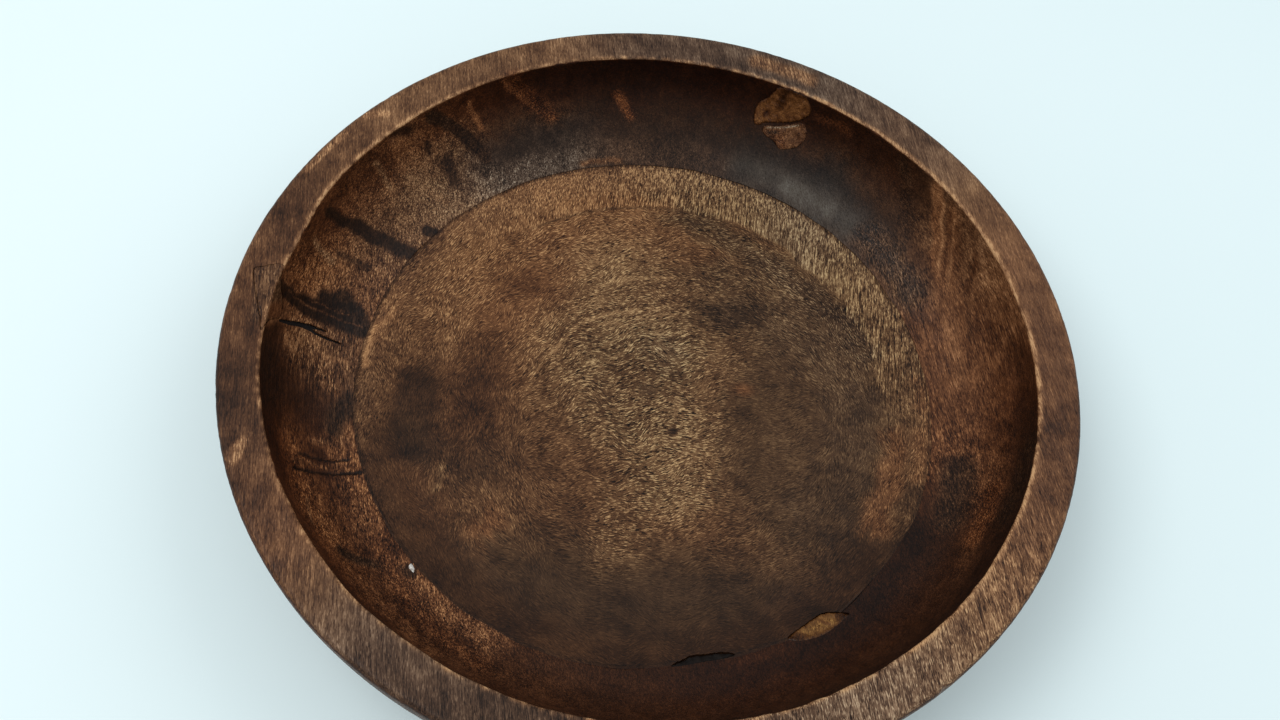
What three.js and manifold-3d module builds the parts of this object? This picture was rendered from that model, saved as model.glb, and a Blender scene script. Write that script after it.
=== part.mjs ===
// A wide, shallow wooden bowl, turned from two slabs of hardwood glued face to face.
// The upper slab is open in the middle and gives the flat rim and the hollow wall.
// The lower slab is the floor of the hollow and the foot. Small fillers mend the wood's faults.
// Millimetres, +Z up. The origin is the centre of the foot, on the surface the bowl rests on.

import * as THREE from 'three';
import { mergeVertices } from 'three/addons/utils/BufferGeometryUtils.js';
import Module from 'manifold-3d';

const wasm = await Module();
wasm.setup();

// Driving dimensions.
const RIM_RADIUS = 178;
const RIM_WIDTH = 18.7;
const HEIGHT = 62;
const FOOT_RADIUS = 126;
const FLOOR_RADIUS = 110;
const COVE_DEPTH = 49.1;
const FLOOR_DISH = 0.8;
const GLUE_HEIGHT = 16.7;
const GLUE_THICKNESS = 0.3;
const GLUE_SETBACK = 0.5;
const RIM_EDGE_ROUND = 2.5;
const MOUTH_BEVEL = 1.5;
const GAP = 0.3;

// The plugs and fillers that lie flush in the hollow's surface. Bearings are degrees from +X.
// The depth goes into the wood, and a cutter stands proud of the wood to cut right through.
const KNOT_PLUG = {
  bearing: 72.4, height: 51, halfLength: 12.3, halfWidth: 8.2, depth: 9, proud: 3,
};
const KNOT_FILLER = {
  bearing: 70.5, height: 36.7, halfLength: 9.5, halfWidth: 5.4, depth: 5, proud: 3,
};
const OVAL_PATCH = {
  bearing: 308.7, height: 17.2, halfLength: 13.6, halfWidth: 4.8, depth: 4, proud: 3,
};
const JOINT_FILLER = {
  bearing: 286.4, height: 16.6, halfLength: 13, halfWidth: 1.7, depth: 3, proud: 3,
};
const CRACK_FILLER = {
  bearing: 182.7, height: 33, halfLength: 1.5, halfWidth: 14, depth: 4, proud: 5,
};

// The corner of the rim that a slanting crack cuts off, as a wedge that the mouth's edge closes:
// two radii and three bearings. Its sharp corners move further than its sides when it grows.
const CHIP = {
  outer: 170.7, inner: 156, tip: 178.2, far: 188.4, near: 176.3, bottom: 48, proud: 1,
};
const CORNER_GROWTH = 2;

// The drop of glue is a flattened egg, half sunk in the joint.
const BEAD = { bearing: 228.6, height: 17.3, halfLength: 2.8, halfWidth: 1.6, halfHeight: 1.1 };

// How finely the curves are divided, and how close two points are to be one point.
const TURN_STEPS = 72;
const COVE_STEPS = 10;
const OUTSIDE_STEPS = 9;
const RIM_EDGE_STEPS = 3;
const BOARD_COVE_STEPS = 4;
const FOOT_STEPS = 6;
const INLAY_STEPS = 20;
const BEAD_STEPS_ROUND = 16;
const BEAD_STEPS_UP = 10;
const SAME_POINT = 1e-4;

// Sizes that follow from them.
const MOUTH_RADIUS = RIM_RADIUS - RIM_WIDTH;
const COVE_REACH = MOUTH_RADIUS - FLOOR_RADIUS;
const SHOULDER = HEIGHT - RIM_EDGE_ROUND;
const RING_HEIGHT = GLUE_HEIGHT + GLUE_THICKNESS;
const FLOOR_HEIGHT = HEIGHT - COVE_DEPTH;

// The hollow's wall is a quarter of an ellipse. Its angle is 0 at the mouth and 90 at the floor.
function coveAngle(height) {
  return Math.asin((HEIGHT - height) / COVE_DEPTH);
}

function covePoint(angle) {
  const radius = FLOOR_RADIUS + COVE_REACH * Math.cos(angle);
  const height = HEIGHT - COVE_DEPTH * Math.sin(angle);
  return new THREE.Vector2(radius, height);
}

// The outside is a quarter of an ellipse too, from the shoulder under the rim to the foot.
function outsideAngle(height) {
  return Math.asin(1 - height / SHOULDER);
}

function outsidePoint(angle) {
  const radius = FOOT_RADIUS + (RIM_RADIUS - FOOT_RADIUS) * Math.cos(angle);
  const height = SHOULDER * (1 - Math.sin(angle));
  return new THREE.Vector2(radius, height);
}

function curve(pointAt, from, to, steps) {
  const points = [];
  for (let i = 0; i <= steps; i += 1) {
    points.push(pointAt(THREE.MathUtils.lerp(from, to, i / steps)));
  }
  return points;
}

// Turns a profile of radius and height once round the Z axis. A profile runs up the inside and
// down the outside, and the lathe wants it the other way round.
function turned(profile) {
  const geometry = new THREE.LatheGeometry([...profile].reverse(), TURN_STEPS);
  geometry.rotateX(Math.PI / 2);
  return geometry;
}

// A solid for the boolean cuts, with shared corners and without triangles that have no area.
function solidOf(geometry) {
  const bare = geometry.clone();
  bare.deleteAttribute('normal');
  bare.deleteAttribute('uv');
  const merged = mergeVertices(bare, SAME_POINT);
  const index = merged.index.array;
  const triVerts = [];
  for (let i = 0; i < index.length; i += 3) {
    const [a, b, c] = [index[i], index[i + 1], index[i + 2]];
    if (a !== b && b !== c && c !== a) {
      triVerts.push(a, b, c);
    }
  }
  return new wasm.Manifold(new wasm.Mesh({
    numProp: 3,
    vertProperties: new Float32Array(merged.attributes.position.array),
    triVerts: new Uint32Array(triVerts),
  }));
}

function geometryOf(solid) {
  const mesh = solid.getMesh();
  const geometry = new THREE.BufferGeometry();
  geometry.setAttribute('position', new THREE.BufferAttribute(mesh.vertProperties, 3));
  geometry.setIndex(new THREE.BufferAttribute(mesh.triVerts, 1));
  geometry.computeVertexNormals();
  return geometry;
}

// A frame on the hollow's wall: X runs round the bowl, Y up the wall and Z out into the hollow.
function wallFrame(bearing, height) {
  const angle = coveAngle(height);
  const point = covePoint(angle);
  const turn = THREE.MathUtils.degToRad(bearing);
  const out = new THREE.Vector3(Math.cos(turn), Math.sin(turn), 0);
  const up = new THREE.Vector3(0, 0, 1);
  const across = Math.hypot(COVE_DEPTH * Math.cos(angle), COVE_REACH * Math.sin(angle));
  const normal = out.clone().multiplyScalar((-COVE_DEPTH * Math.cos(angle)) / across);
  normal.addScaledVector(up, (COVE_REACH * Math.sin(angle)) / across);
  const round = new THREE.Vector3(-Math.sin(turn), Math.cos(turn), 0).negate();
  const climb = normal.clone().cross(round);
  const frame = new THREE.Matrix4().makeBasis(round, climb, normal);
  return frame.setPosition(out.multiplyScalar(point.x).setZ(point.y));
}

// A cutter with an oval outline: half its length round the bowl, half its width up the wall.
function ovalCutter(place, spare) {
  const outline = new THREE.Shape();
  const halfLength = place.halfLength + spare;
  const halfWidth = place.halfWidth + spare;
  outline.absellipse(0, 0, halfLength, halfWidth, 0, 2 * Math.PI);
  const geometry = new THREE.ExtrudeGeometry(outline, {
    depth: place.depth + spare + place.proud,
    curveSegments: INLAY_STEPS,
    bevelEnabled: false,
  });
  geometry.translate(0, 0, -place.depth - spare);
  geometry.applyMatrix4(wallFrame(place.bearing, place.height));
  return solidOf(geometry);
}

// A cutter for the rim's cracked corner, from its bottom to just over the rim.
function chipCutter(spare) {
  const corner = (radius, bearing) => {
    const turn = THREE.MathUtils.degToRad(bearing);
    return new THREE.Vector2(radius * Math.cos(turn), radius * Math.sin(turn));
  };
  const corners = [
    corner(CHIP.outer, CHIP.tip),
    corner(CHIP.inner, CHIP.far),
    corner(CHIP.inner, CHIP.near),
  ];
  const middle = new THREE.Vector2();
  corners.forEach((point) => middle.addScaledVector(point, 1 / corners.length));
  const grown = corners.map((point) => {
    const away = point.clone().sub(middle);
    return point.clone().addScaledVector(away.normalize(), CORNER_GROWTH * spare);
  });
  const geometry = new THREE.ExtrudeGeometry(new THREE.Shape(grown), {
    depth: HEIGHT - CHIP.bottom + spare + CHIP.proud,
    bevelEnabled: false,
  });
  geometry.translate(0, 0, CHIP.bottom - spare);
  return solidOf(geometry);
}

function beadSolid(spare) {
  const geometry = new THREE.SphereGeometry(1, BEAD_STEPS_ROUND, BEAD_STEPS_UP);
  geometry.scale(BEAD.halfLength + spare, BEAD.halfWidth + spare, BEAD.halfHeight + spare);
  geometry.applyMatrix4(wallFrame(BEAD.bearing, BEAD.height));
  return solidOf(geometry);
}

// The two slabs and the film of glue, before the fillers' pockets are cut.
function ringBlank() {
  const cove = curve(covePoint, coveAngle(RING_HEIGHT), 0, COVE_STEPS);
  cove.pop();
  const round = curve(
    (angle) => new THREE.Vector2(
      RIM_RADIUS - RIM_EDGE_ROUND * (1 - Math.sin(angle)),
      SHOULDER + RIM_EDGE_ROUND * Math.cos(angle),
    ),
    0,
    Math.PI / 2,
    RIM_EDGE_STEPS,
  );
  const outside = curve(outsidePoint, 0, outsideAngle(RING_HEIGHT), OUTSIDE_STEPS);
  outside.shift();
  return turned([
    ...cove,
    new THREE.Vector2(MOUTH_RADIUS, HEIGHT - MOUTH_BEVEL),
    new THREE.Vector2(MOUTH_RADIUS + MOUTH_BEVEL, HEIGHT),
    ...round,
    ...outside,
    cove[0],
  ]);
}

function boardBlank() {
  const cove = curve(covePoint, Math.PI / 2, coveAngle(GLUE_HEIGHT), BOARD_COVE_STEPS);
  const outside = curve(outsidePoint, outsideAngle(GLUE_HEIGHT), Math.PI / 2, FOOT_STEPS);
  const halfWay = 0.5;
  const halfWayDish = FLOOR_DISH * (1 - halfWay ** 2);
  return turned([
    new THREE.Vector2(0, FLOOR_HEIGHT - FLOOR_DISH),
    new THREE.Vector2(FLOOR_RADIUS * halfWay, FLOOR_HEIGHT - halfWayDish),
    ...cove,
    ...outside,
    new THREE.Vector2(0, 0),
  ]);
}

function glueBlank() {
  const inner = covePoint(coveAngle(RING_HEIGHT)).x + GLUE_SETBACK;
  const outer = outsidePoint(outsideAngle(GLUE_HEIGHT)).x - GLUE_SETBACK;
  return turned([
    new THREE.Vector2(inner, GLUE_HEIGHT),
    new THREE.Vector2(inner, RING_HEIGHT),
    new THREE.Vector2(outer, RING_HEIGHT),
    new THREE.Vector2(outer, GLUE_HEIGHT),
    new THREE.Vector2(inner, GLUE_HEIGHT),
  ]);
}

const group = new THREE.Group();

function addPart(name, solid, colour, roughness) {
  const material = new THREE.MeshStandardMaterial({ color: colour, roughness, metalness: 0 });
  const mesh = new THREE.Mesh(geometryOf(solid), material);
  mesh.name = name;
  group.add(mesh);
}

const ring = solidOf(ringBlank());
const board = solidOf(boardBlank());
const glue = solidOf(glueBlank());
const whole = ring.add(board).add(glue);

const pockets = [
  ovalCutter(KNOT_PLUG, GAP),
  ovalCutter(KNOT_FILLER, GAP),
  ovalCutter(OVAL_PATCH, GAP),
  ovalCutter(JOINT_FILLER, GAP),
  ovalCutter(CRACK_FILLER, GAP),
  chipCutter(GAP),
  beadSolid(GAP),
];
const withPockets = (blank) => pockets.reduce((left, pocket) => left.subtract(pocket), blank);

addPart('wall_ring', withPockets(ring), 0x5a3c28, 0.45);
addPart('base_board', withPockets(board), 0x5e4029, 0.5);
addPart('glue_film', withPockets(glue), 0x1e1510, 0.6);
addPart('knot_plug', whole.intersect(ovalCutter(KNOT_PLUG, 0)), 0x70451f, 0.4);
addPart('knot_filler', whole.intersect(ovalCutter(KNOT_FILLER, 0)), 0x6b4c33, 0.6);
addPart('oval_patch', whole.intersect(ovalCutter(OVAL_PATCH, 0)), 0x7a5528, 0.35);
addPart('joint_filler', whole.intersect(ovalCutter(JOINT_FILLER, 0)), 0x17100e, 0.5);
addPart('crack_filler', whole.intersect(ovalCutter(CRACK_FILLER, 0)), 0x17100e, 0.6);
addPart('rim_chip', ring.intersect(chipCutter(0)), 0x4a3830, 0.5);
addPart('glue_bead', beadSolid(0), 0xd8d4cc, 0.2);

export default group;
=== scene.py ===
"""A wide, shallow bowl turned from two glued slabs of dark-stained hardwood, on a pale floor.

Shapes are worked out in millimetres in the CAD frame and become metres when a mesh is made.
A point of the bowl's inside is given as (bearing, s). The bearing is in degrees from +X,
anticlockwise from above. s is the distance in millimetres along the surface, from the rim's
outer edge in over the rim, down the wall and over the floor.
"""

import math
import bmesh
import bpy
import numpy as np
from mathutils import Matrix, Vector, geometry


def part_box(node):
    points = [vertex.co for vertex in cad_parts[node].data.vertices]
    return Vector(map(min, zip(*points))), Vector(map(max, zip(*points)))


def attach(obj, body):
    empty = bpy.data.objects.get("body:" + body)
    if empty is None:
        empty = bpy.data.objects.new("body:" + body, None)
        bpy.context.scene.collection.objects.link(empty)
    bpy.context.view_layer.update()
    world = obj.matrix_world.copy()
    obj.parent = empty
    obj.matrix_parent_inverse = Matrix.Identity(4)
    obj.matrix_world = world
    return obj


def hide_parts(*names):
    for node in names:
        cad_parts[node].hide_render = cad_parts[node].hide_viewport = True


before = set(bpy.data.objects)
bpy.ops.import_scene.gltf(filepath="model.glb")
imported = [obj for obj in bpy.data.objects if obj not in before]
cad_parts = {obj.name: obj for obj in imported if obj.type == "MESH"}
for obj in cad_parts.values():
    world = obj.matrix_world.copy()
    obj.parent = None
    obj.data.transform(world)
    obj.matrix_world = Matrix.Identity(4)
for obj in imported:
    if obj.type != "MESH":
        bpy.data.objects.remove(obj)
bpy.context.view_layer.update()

TO_METRES = 0.001
SEED = 7

# ---- sizes, in millimetres and degrees ----

RING_LOW, RING_HIGH = (np.array(corner) / TO_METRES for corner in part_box("wall_ring"))
BOARD_LOW, BOARD_HIGH = (np.array(corner) / TO_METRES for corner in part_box("base_board"))
RIM_RADIUS = (RING_HIGH[0] - RING_LOW[0]) / 2
HEIGHT = RING_HIGH[2]
GLUE_TOP = RING_LOW[2]
GLUE_LOW = BOARD_HIGH[2]
RIM_WIDTH = 18.7
FLOOR_RADIUS = 110.0
COVE_DEPTH = 49.1
FLOOR_DISH = 0.8
FOOT_RADIUS = 126.0
EDGE_ROUND = 2.5
MOUTH_RADIUS = RIM_RADIUS - RIM_WIDTH
COVE_REACH = MOUTH_RADIUS - FLOOR_RADIUS
SHOULDER = HEIGHT - EDGE_ROUND
# The bearings of the meshes' seam and of the ring's grain.
SEAM_BEARING = -100.0
RING_GRAIN = 103.0
# The wall is laid out flat at this radius, for the stains and open lines on it.
WALL_RADIUS = 150

# The length along the cove for each angle of its ellipse, from the mouth down to the floor.
COVE_ANGLES = np.linspace(0, math.pi / 2, 600)
COVE_R = FLOOR_RADIUS + COVE_REACH * np.cos(COVE_ANGLES)
COVE_Z = HEIGHT - COVE_DEPTH * np.sin(COVE_ANGLES)
COVE_S = RIM_WIDTH + np.concatenate(
    [[0], np.cumsum(np.hypot(np.diff(COVE_R), np.diff(COVE_Z)))]
)
JOINT_RADIUS = float(np.interp(-GLUE_LOW, -COVE_Z, COVE_R))
FLOOR_S = COVE_S[-1]
CENTRE_S = FLOOR_S + FLOOR_RADIUS


# ---- random fields, places and curves ----

FIELD_WAVES = 14


def waves(points, size, seed):
    """A smooth random field of about -1 to 1 over points, with features of the given size."""
    random = np.random.default_rng(SEED * 1000 + seed)
    total = np.zeros(len(points))
    for _ in range(FIELD_WAVES):
        direction = random.normal(size=points.shape[1])
        direction *= random.uniform(0.6, 1.5) / np.linalg.norm(direction)
        phase = random.uniform(0, 2 * math.pi)
        total += np.sin(points @ direction * (math.pi / size) + phase)
    return total / math.sqrt(FIELD_WAVES / 2) / 1.6


def polar(bearing, radius):
    """x and y at each bearing."""
    turn = np.radians(bearing)
    return np.column_stack([radius * np.cos(turn), radius * np.sin(turn)])


def points_at(bearing, radius, z):
    """Points at each bearing, with one radius and height or a list of them."""
    return np.column_stack([polar(bearing, radius), z * np.ones(len(bearing))])


def polar_of(points):
    """Bearing and radius of each point."""
    x, y = points[:, 0], points[:, 1]
    return np.degrees(np.arctan2(y, x)), np.hypot(x, y)


def unrolled(bearing, s, start=0):
    """The wall laid out flat, in millimetres, with its bearings counted from start."""
    return np.column_stack([np.radians(bearing % 360 - start) * WALL_RADIUS, s])


def smooth(edge0, edge1, x):
    """0 to 1 as x goes from edge0 to edge1, eased at both ends."""
    t = np.clip((x - edge0) / (edge1 - edge0), 0, 1)
    return t * t * (3 - 2 * t)


def bell(x, half_width):
    """1 where x is 0, falling away on both sides."""
    return np.exp(-np.square(x / half_width))


def round_curve(knots, bearing):
    """A smooth closed curve through (bearing, value) knots."""
    knots = np.array(sorted(knots))
    at = np.concatenate([knots[-2:, 0] - 360, knots[:, 0], knots[:2, 0] + 360])
    value = np.concatenate([knots[-2:, 1], knots[:, 1], knots[:2, 1]])
    x = (bearing - knots[0, 0]) % 360 + knots[0, 0]
    i = np.clip(np.searchsorted(at, x, side="right") - 1, 1, len(at) - 3)
    t = (x - at[i]) / (at[i + 1] - at[i])
    return value[i] + (value[i + 1] - value[i]) * t * t * (3 - 2 * t)


# ---- the inside surface ----

# How far the hand-finished mouth stands in from a true circle, by bearing.
MOUTH_KNOTS = [
    (-10, -0.9), (20, 0.0), (60, 1.0), (85, 0.5), (110, -0.3), (140, -0.2), (160, -0.6),
    (171, 0.9), (180, -0.3), (192, -1.3), (220, -1.0), (250, -0.7), (300, -0.7), (335, -0.8),
]
# How far the visible joint lies from its true circle. It wanders, because the cove meets the
# glue plane at a shallow angle.
JOINT_KNOTS = [
    (-20, -0.6), (20, -1.2), (60, 0.0), (100, 1.0), (145, 1.5), (190, 1.0), (225, 0.3),
    (255, 0.0), (270, -1.0), (284, -3.4), (296, -2.0), (310, -0.2), (325, -1.4),
]


# The mouth's shift fades out over the rim and down the wall, at these s.
SHIFT_START, SHIFT_END = 3, 44
MOUTH_BEVEL = 1.3
LEAST_BEVEL, MOST_BEVEL = 0.5, 2.4
# The wall is moved up or down this far on either side of the joint, to meet the glue line.
JOINT_REACH = 26


def mouth_shift(bearing):
    """How far the mouth stands in at each bearing, with its fine unevenness."""
    ring = polar(bearing, MOUTH_RADIUS)
    return (
        round_curve(MOUTH_KNOTS, bearing)
        + 0.10 * waves(ring, 10, 1)
        + 0.05 * waves(ring, 3, 2)
    )


def joint_radius(bearing):
    ring = polar(bearing, JOINT_RADIUS)
    return JOINT_RADIUS + round_curve(JOINT_KNOTS, bearing) + 0.25 * waves(ring, 12, 3)


def joint_s(bearing):
    return np.interp(-joint_radius(bearing), -COVE_R, COVE_S)


def inside_profile(s):
    """Radius and height of the true surface at s."""
    r = np.where(
        s < RIM_WIDTH,
        RIM_RADIUS - s,
        np.where(s < FLOOR_S, np.interp(s, COVE_S, COVE_R), CENTRE_S - s),
    )
    floor = HEIGHT - COVE_DEPTH - FLOOR_DISH * (1 - np.square(np.clip(r / FLOOR_RADIUS, 0, 1)))
    z = np.where(
        s < RIM_WIDTH, HEIGHT, np.where(s < FLOOR_S, np.interp(s, COVE_S, COVE_Z), floor)
    )
    return r, z


def inside_normal(s):
    """The radial and upward parts of the surface's normal, out of the wood."""
    ahead = inside_profile(s + 0.2)
    behind = inside_profile(s - 0.2)
    dr, dz = ahead[0] - behind[0], ahead[1] - behind[1]
    size = np.hypot(dr, dz)
    return dz / size, -dr / size


def inside_points(bearing, s, rise=0.0):
    """Points of the inside at (bearing, s), raised out of the wood by rise."""
    r, z = inside_profile(s)
    nr, nz = inside_normal(s)
    ring = polar(bearing, MOUTH_RADIUS)
    bevel = MOUTH_BEVEL + 0.5 * waves(ring, 16, 4) + 0.3 * waves(ring, 4, 5)
    bevel = np.clip(bevel, LEAST_BEVEL, MOST_BEVEL)
    near = np.clip(1 - np.abs(s - RIM_WIDTH) / bevel, 0, 1)
    corner = bevel * near * near / 4
    shift = mouth_shift(bearing)
    shift = shift * smooth(SHIFT_START, RIM_WIDTH, s) * smooth(SHIFT_END, RIM_WIDTH, s)
    joint = joint_s(bearing)
    lift = GLUE_TOP - np.interp(joint, COVE_S, COVE_Z)
    lift = lift * smooth(JOINT_REACH, 0, np.abs(s - joint))
    flat = points_at(bearing, r, z)
    surface_marks = 0.12 * waves(flat, 24, 6) + 0.05 * waves(flat, 7, 7)
    rise = rise + surface_marks * smooth(0, 4, s) * smooth(CENTRE_S, CENTRE_S - 60, s)
    r = r - shift + corner + nr * rise
    z = z - corner + lift + nz * rise
    return points_at(bearing, r, z)


# ---- the outside ----

OUTSIDE_ROWS = 26
NICK_BEARING = 311.7
NICK_DEPTH = 0.9
NICK_HALF_WIDTH = 0.55
NICK_FADE = 6


def outside_at(angle):
    """Radius and height on the outside's ellipse, which runs from the rim to the foot."""
    r = FOOT_RADIUS + (RIM_RADIUS - FOOT_RADIUS) * math.cos(angle)
    return r, SHOULDER * (1 - math.sin(angle))


def outside_angle(z):
    """The angle at which the outside has height z."""
    return math.asin(1 - z / SHOULDER)


def edge_nick(bearing):
    """A small bruise in the rim's outer edge, and its fine unevenness."""
    away = (bearing - NICK_BEARING + 180) % 360 - 180
    bruise = NICK_DEPTH * bell(away, NICK_HALF_WIDTH)
    return bruise + 0.12 * np.abs(waves(polar(bearing, 178), 5, 9))


def outside_loops(bearing):
    """Loops over the rim's rounded edge, down the outside and to the glue plane."""
    profile = []
    for angle in np.radians([22, 45, 68, 90]):
        r = RIM_RADIUS - EDGE_ROUND * (1 - math.sin(angle))
        profile.append((r, SHOULDER + EDGE_ROUND * math.cos(angle)))
    for angle in np.linspace(0, outside_angle(GLUE_TOP), OUTSIDE_ROWS + 1)[1:]:
        profile.append(outside_at(angle))
    loops = []
    nick = edge_nick(bearing)
    for r, z in profile:
        uneven = 0.18 * waves(points_at(bearing, r, z), 30, 8)
        r = r + uneven * min(1.0, (HEIGHT - z) / 10)
        r = r - nick * smooth(HEIGHT - 1 - NICK_FADE, HEIGHT - 1, z)
        loops.append(points_at(bearing, r, z))
    return loops


# ---- outlines ----

OUTLINE_STEP = 0.45


def rounded_outline(corners):
    """Points about a step apart along a smooth closed curve through the corners."""
    corners = np.array(corners, float)
    n = len(corners)
    points = []
    for i in range(n):
        a, b, c, d = (corners[(i + k) % n] for k in (-1, 0, 1, 2))
        count = max(2, int(np.linalg.norm(c - b) / OUTLINE_STEP))
        for t in np.arange(count) / count:
            bend = 2 * a - 5 * b + 4 * c - d + t * (3 * (b - c) + d - a)
            points.append(b + 0.5 * t * (c - a + t * bend))
    return np.array(points)


def outward(outline):
    """Unit normals of a closed outline, pointing out of it."""
    ahead = np.roll(outline, -1, axis=0) - np.roll(outline, 1, axis=0)
    normal = np.column_stack([ahead[:, 1], -ahead[:, 0]])
    normal /= np.maximum(np.linalg.norm(normal, axis=1), 1e-9)[:, None]
    after = np.roll(outline, -1, axis=0)
    area = np.sum(outline[:, 0] * after[:, 1] - after[:, 0] * outline[:, 1])
    return normal if area > 0 else -normal


def is_inside(points, outline):
    """Whether each point is inside a closed outline."""
    x, y = points[:, 0], points[:, 1]
    found = np.zeros(len(points), bool)
    for a, b in zip(outline, np.roll(outline, -1, axis=0)):
        if a[1] != b[1]:
            crosses = (a[1] > y) != (b[1] > y)
            found ^= crosses & (x < a[0] + (y - a[1]) * (b[0] - a[0]) / (b[1] - a[1]))
    return found


def distance_to(points, line):
    """Distance from each point to a polyline."""
    best = np.full(len(points), 1e9)
    for a, b in zip(line[:-1], line[1:]):
        along = b - a
        t = np.clip((points - a) @ along / max(along @ along, 1e-9), 0, 1)
        best = np.minimum(best, np.linalg.norm(points - a - t[:, None] * along, axis=1))
    return best


# ---- meshes ----


def skin(loops):
    """Points and faces over closed loops. A loop may have half the points of the one before
    it or after it, and the first and last may be a single point."""
    starts = np.cumsum([0] + [len(loop) for loop in loops])
    faces = []
    for i in range(len(loops) - 1):
        n, m = len(loops[i]), len(loops[i + 1])
        first, second = starts[i], starts[i + 1]
        if n == m:
            k = np.arange(n)
            after = (k + 1) % n
            quads = [first + k, first + after, second + after, second + k]
            faces += np.column_stack(quads).tolist()
            continue
        swap = n < m
        if swap:
            n, m, first, second = m, n, second, first
        new = []
        if m == 1:
            k = np.arange(n)
            fan = [first + k, first + (k + 1) % n, np.full(n, second)]
            new = np.column_stack(fan).tolist()
        else:
            k = np.arange(m)
            left, middle, right = first + 2 * k, first + 2 * k + 1, first + (2 * k + 2) % n
            near, far = second + k, second + (k + 1) % m
            for triangle in ((left, middle, near), (middle, right, far), (middle, far, near)):
                new += np.column_stack(triangle).tolist()
        faces += [face[::-1] for face in new] if swap else new
    return np.vstack(loops), faces


def closed_skin(loops):
    """The skin over loops of equal size that come back to the first one."""
    points, faces = skin(loops + [loops[0]])
    last = len(points) - len(loops[0])
    return points[:last], [[i - last if i >= last else i for i in face] for face in faces]


def make_object(name, points, faces):
    """A closed mesh object in metres, with its faces turned outward."""
    mesh = bpy.data.meshes.new(name)
    mesh.from_pydata((points * TO_METRES).tolist(), [], faces)
    work = bmesh.new()
    work.from_mesh(mesh)
    bmesh.ops.recalc_face_normals(work, faces=work.faces)
    work.to_mesh(mesh)
    work.free()
    made = bpy.data.objects.new(name, mesh)
    bpy.context.scene.collection.objects.link(made)
    return made


def points_of(made):
    flat = np.zeros(len(made.data.vertices) * 3, np.float32)
    made.data.vertices.foreach_get("co", flat)
    return flat.reshape(-1, 3).astype(float) / TO_METRES


def cut(made, cutters):
    """Takes the cutters' solids out of a piece."""
    for cutter in cutters:
        modifier = made.modifiers.new("cut", "BOOLEAN")
        modifier.operation = "DIFFERENCE"
        modifier.solver = "MANIFOLD"
        modifier.object = cutter
    graph = bpy.context.evaluated_depsgraph_get()
    result = bpy.data.meshes.new_from_object(made.evaluated_get(graph))
    made.modifiers.clear()
    made.data = result


# ---- the ring ----

RING_STEP = 0.56
FINE_STEP = 0.25
FINE_BEARINGS = [(31, 39), (65, 80), (144, 164), (174, 190), (202, 211), (309, 314)]
RING_ROWS = 52
RIM_ROWS = 15
# Rows over the corner at the mouth, measured from it towards the wall.
CORNER_ROWS = [1.8, 1.2, 0.6, 0, -0.6, -1.2, -1.8, -2.4]

# Fine open lines in the wall and the rim: corners, depth and half width in millimetres.
GROOVES = [
    ([(208.1, 40), (207.9, 52), (207.7, 62), (207.9, 75)], 0.5, 0.45),
    ([(205.3, 46), (205.2, 56), (204.8, 62), (205.0, 70)], 0.5, 0.45),
    ([(157.0, 50), (152.0, 45), (146.5, 37), (141.0, 31)], 0.25, 0.4),
    ([(146.0, 17.5), (145.8, 20), (146.3, 23.5)], 1.1, 1.3),
]


def groove_rise(bearing, s):
    """How far the open lines lower the surface, as a rise below zero."""
    plane = unrolled(bearing, s)
    rise = np.zeros(len(s))
    for corners, depth, half_width in GROOVES:
        away = distance_to(plane, unrolled(*np.array(corners).T))
        rise -= depth * bell(away, half_width)
    return rise


def ring_bearings():
    """Bearings round the ring, closer together where the wood has fine faults."""
    at = [SEAM_BEARING]
    while at[-1] < SEAM_BEARING + 360:
        turn = at[-1] % 360
        fine = any(low < turn < high for low, high in FINE_BEARINGS)
        at.append(at[-1] + (FINE_STEP if fine else RING_STEP))
    at = np.array(at[:-1])
    return SEAM_BEARING + (at - SEAM_BEARING) * 360 / (at[-1] + RING_STEP - SEAM_BEARING)


def make_ring():
    bearing = ring_bearings()
    joint = joint_s(bearing)
    ones = np.ones(len(bearing))
    low = RIM_WIDTH + 2.4
    loops = []
    for t, sunk in [(0, 0.35), (0.006, 0.12), (0.014, 0.03)]:
        loops.append(inside_points(bearing, joint + (low - joint) * t, -sunk))
    for t in np.linspace(0.03, 1, RING_ROWS):
        s = joint + (low - joint) * t
        loops.append(inside_points(bearing, s, groove_rise(bearing, s)))
    for beyond in CORNER_ROWS:
        loops.append(inside_points(bearing, (RIM_WIDTH + beyond) * ones))
    for s in np.linspace(RIM_WIDTH - 3.2, EDGE_ROUND, RIM_ROWS):
        loops.append(inside_points(bearing, s * ones, groove_rise(bearing, s * ones)))
    loops += outside_loops(bearing)
    outer, inner = loops[-1], loops[0]
    for t in (0.02, 0.5, 0.97):
        loops.append(outer + (inner - outer) * t)
    loops[0][:, 2] = GLUE_TOP
    loops[-1][:, 2] = GLUE_TOP
    return make_object("turned_wall", *closed_skin(loops))


# ---- the board and the glue between ----

BOARD_COLUMNS = 640
BOARD_ROWS = 70
UNDER_ROWS = 13
HALVING_RADIUS = 60.0
FEWEST_COLUMNS = 40
JOINT_SLOPE = 23.0
FOOT_LOOPS = (124.5, 118, 100, 80)
FILM_SETBACK_INSIDE = 0.45
FILM_SETBACK_OUTSIDE = 0.35


def halvings(bearing):
    """The bearings with every second one left out, again and again."""
    while len(bearing) > FEWEST_COLUMNS:
        bearing = bearing[::2]
        yield bearing


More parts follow.
